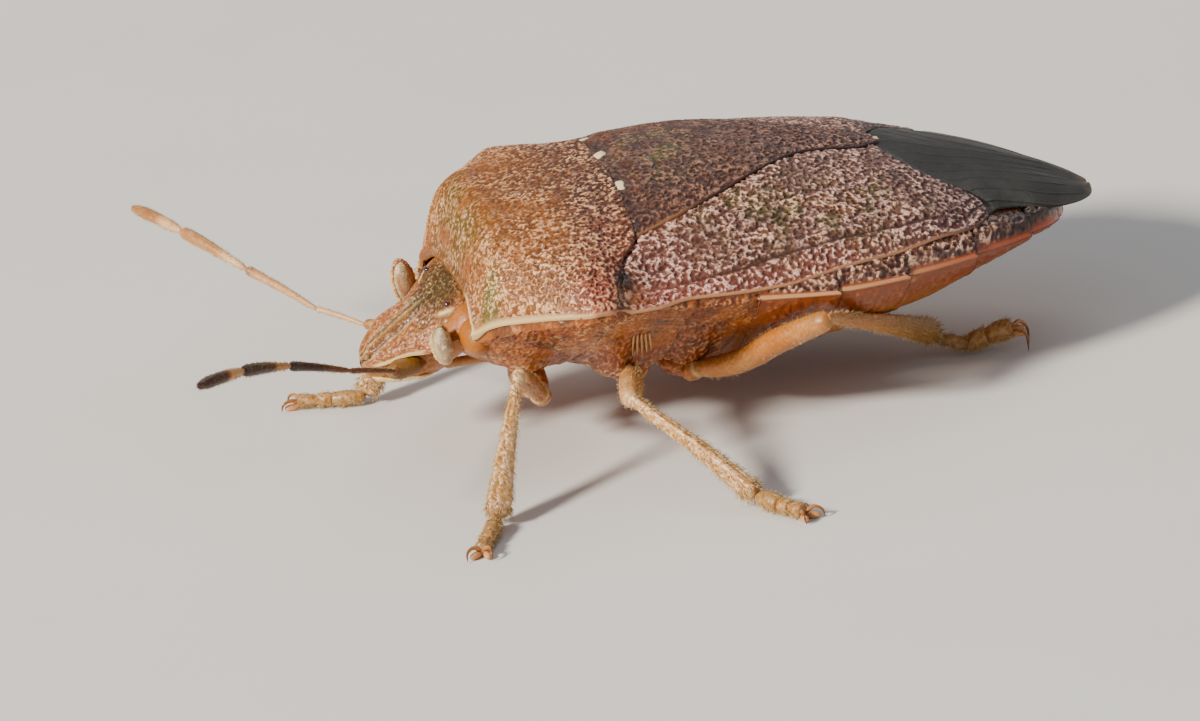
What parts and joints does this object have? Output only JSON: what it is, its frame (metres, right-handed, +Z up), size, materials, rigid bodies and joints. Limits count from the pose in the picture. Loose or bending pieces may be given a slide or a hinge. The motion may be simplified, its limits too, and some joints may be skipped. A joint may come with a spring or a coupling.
{
  "type": "shield bug",
  "caption": "Life-size still model of a russet shield bug standing on six legs, with granular shell, folded wings, feelers swept forward and the head held up.",
  "frame": {"origin": "on the floor, under the middle of the part's bounding box", "axes": "+X runs towards the wing tips, so the head faces -X; +Y is the insect's right side; +Z is up"},
  "size_m": [0.0182, 0.0158, 0.0048],
  "materials": {
    "back_shell": "purplish russet horn, densely pitted and beaded with small pale granules",
    "head_shell": "olive-brown horn with pale edges, finely pitted",
    "membrane": "thin smoky grey-green film with fine veins, satin sheen",
    "eyes": "grey-brown faceted domes with a pale rim",
    "underside": "amber-brown horn with pale granules",
    "legs": "straw-coloured horn with brownish dots and short bristles",
    "feelers": "red-brown horn with pale joints and a fine pile"
  },
  "bodies": {
    "root": {"abdomen": "underside", "antenna_left_root": "feelers", "antenna_left_tip": "feelers", "antenna_right_root": "feelers", "antenna_right_tip": "feelers", "beak": "underside", "eye_left": "eyes", "eye_right": "eyes", "head": "head_shell", "leg_left_fore_foot": "legs", "leg_left_fore_shin": "legs", "leg_left_fore_thigh": "legs", "leg_left_hind_foot": "legs", "leg_left_hind_shin": "legs", "leg_left_hind_thigh": "legs", "leg_left_mid_foot": "legs", "leg_left_mid_shin": "legs", "leg_left_mid_thigh": "legs", "leg_right_fore_foot": "legs", "leg_right_fore_shin": "legs", "leg_right_fore_thigh": "legs", "leg_right_hind_foot": "legs", "leg_right_hind_shin": "legs", "leg_right_hind_thigh": "legs", "leg_right_mid_foot": "legs", "leg_right_mid_shin": "legs", "leg_right_mid_thigh": "legs", "pronotum": "back_shell", "scutellum": "back_shell", "thorax": "underside", "wing_case_left": "back_shell", "wing_case_right": "back_shell", "wing_membrane_left": "membrane", "wing_membrane_right": "membrane"}
  },
  "joints": []
}
